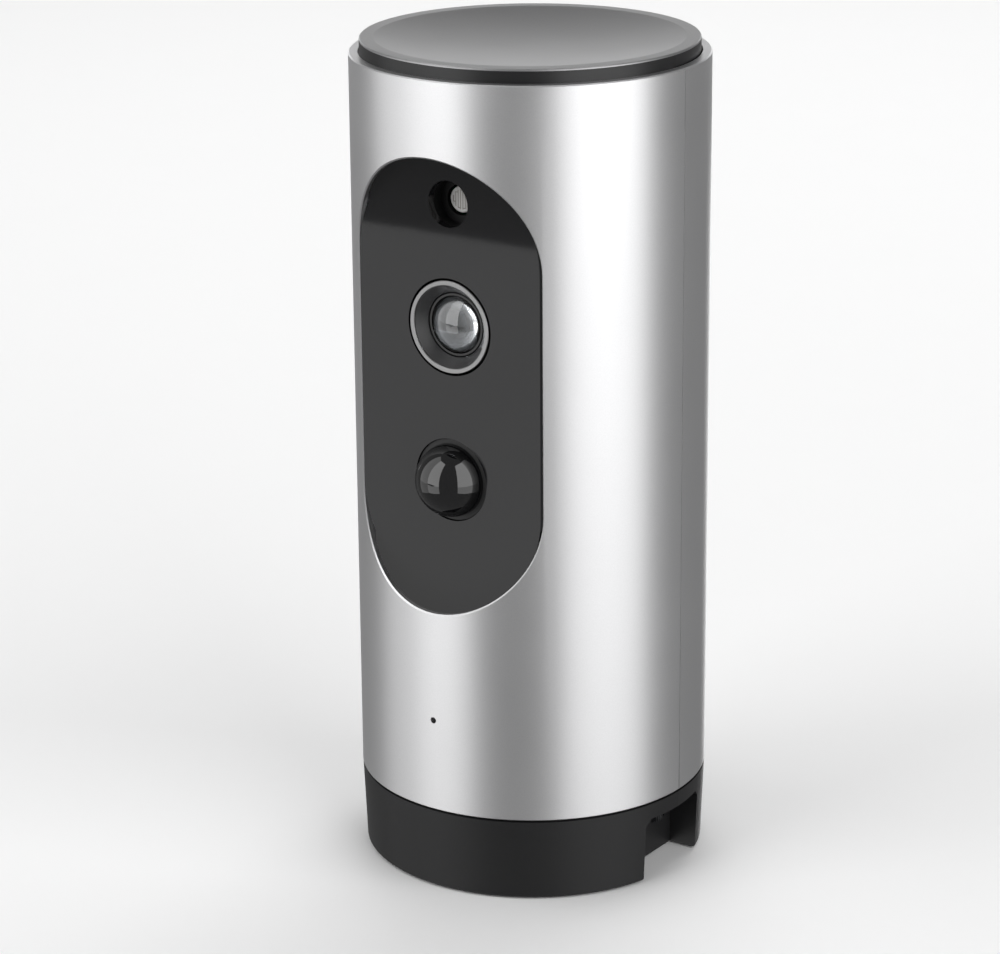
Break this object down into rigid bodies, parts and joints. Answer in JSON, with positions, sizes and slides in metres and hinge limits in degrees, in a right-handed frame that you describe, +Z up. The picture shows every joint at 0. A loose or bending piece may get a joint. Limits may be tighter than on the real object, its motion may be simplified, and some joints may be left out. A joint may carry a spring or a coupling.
{
  "type": "wireless pet monitoring camera",
  "caption": "Cylindrical free-standing battery camera with a domed lens, motion and light sensors in a flat black panel, a press-down dished top and a lift-off rear cover.",
  "frame": {"origin": "centre of the foot's underside", "axes": "+Z up through the top button, -Y the way the lens faces, +X the side with the cable alcove"},
  "size_m": [0.06, 0.06, 0.1422],
  "materials": {
    "sleeve": "satin anodised",
    "button_metal": "satin anodised",
    "bezel_metal": "satin",
    "base_black": "satin moulded",
    "button_black": "satin moulded",
    "panel_black": "gloss",
    "dome_black": "gloss",
    "funnel_black": "matt moulded",
    "lens_black": "black anodised",
    "lens_glass": "polished and coated",
    "filter_glass": "polished",
    "well_black": "matt moulded",
    "photocell": "smooth",
    "frame_plastic": "matt moulded",
    "chassis_plastic": "matt moulded",
    "foam": "matt",
    "foot_rubber": "matt",
    "boot_rubber": "matt",
    "board_green": "solder mask",
    "chip_black": "moulded",
    "tin": "bright tin",
    "switch_case": "matt moulded",
    "button_red": "satin moulded",
    "cable_white": "polyester film",
    "brass": "turned",
    "screw_steel": "zinc plated",
    "black_screw": "black oxide",
    "spring_steel": "drawn wire",
    "magnet": "nickel plated",
    "cell_wrap": "shrink sleeve",
    "can_metal": "nickel plated",
    "cradle_plastic": "matt moulded"
  },
  "bodies": {
    "camera": {"front_shell": "sleeve", "cover_magnets": "magnet", "base_housing": "base_black", "foot_pad": "foot_rubber", "base_screws": "black_screw", "port_board": "board_green", "usb_socket": "tin", "power_switch_body": "tin", "chassis": "chassis_plastic", "front_frame": "frame_plastic", "panel_tape": "foam", "front_panel": "panel_black", "lens_bezel": "bezel_metal", "lens_funnel": "funnel_black", "lens_barrel": "lens_black", "front_lens": "lens_glass", "inner_lens": "lens_glass", "lens_holder": "frame_plastic", "ir_filter": "filter_glass", "image_sensor": "chip_black", "sensor_board": "board_green", "pir_dome": "dome_black", "pir_sensor": "can_metal", "pir_board": "board_green", "light_sensor_shroud": "well_black", "light_sensor": "photocell", "light_sensor_board": "board_green", "board_standoffs": "brass", "main_board": "board_green", "board_chips": "chip_black", "radio_module": "tin", "board_screws": "screw_steel", "ribbon_sockets": "switch_case", "ribbon_cable": "cable_white", "mic_boot": "boot_rubber", "mic_capsule": "can_metal", "battery_cradle": "cradle_plastic", "battery_springs": "spring_steel", "battery_plates": "tin", "cradle_screws": "screw_steel", "service_board": "board_green", "card_socket": "tin", "reset_switch": "switch_case", "antenna_board": "board_green", "switch_board": "board_green", "top_switch": "switch_case", "button_springs": "spring_steel", "battery_cell_left": "cell_wrap", "battery_cell_right": "cell_wrap"},
    "rear_cover": {"rear_shell": "sleeve", "cover_frame": "frame_plastic", "cover_catch_plates": "tin"},
    "top_button": {"cap_body": "button_black", "cap_plate": "button_metal", "cap_screws": "screw_steel"},
    "power_switch": {"power_switch_knob": "switch_case"},
    "reset": {"reset_button": "button_red"}
  },
  "joints": [
    {"name": "rear_cover_pull", "type": "slide", "parent": "camera", "child": "rear_cover", "axis": [0, 1, 0], "range_m": [0, 0.05]},
    {"name": "top_button_press", "type": "slide", "parent": "camera", "child": "top_button", "axis": [0, 0, -1], "range_m": [0, 0.0008], "stiffness_N_per_m": 1200, "springref_m": -0.0004, "deforming": ["button_springs"]},
    {"name": "power_switch_slide", "type": "slide", "parent": "camera", "child": "power_switch", "axis": [0, 1, 0], "range_m": [0, 0.002]},
    {"name": "reset_press", "type": "slide", "parent": "camera", "child": "reset", "axis": [0, -1, 0], "range_m": [0, 0.0003], "stiffness_N_per_m": 3000, "springref_m": -0.0001}
  ]
}
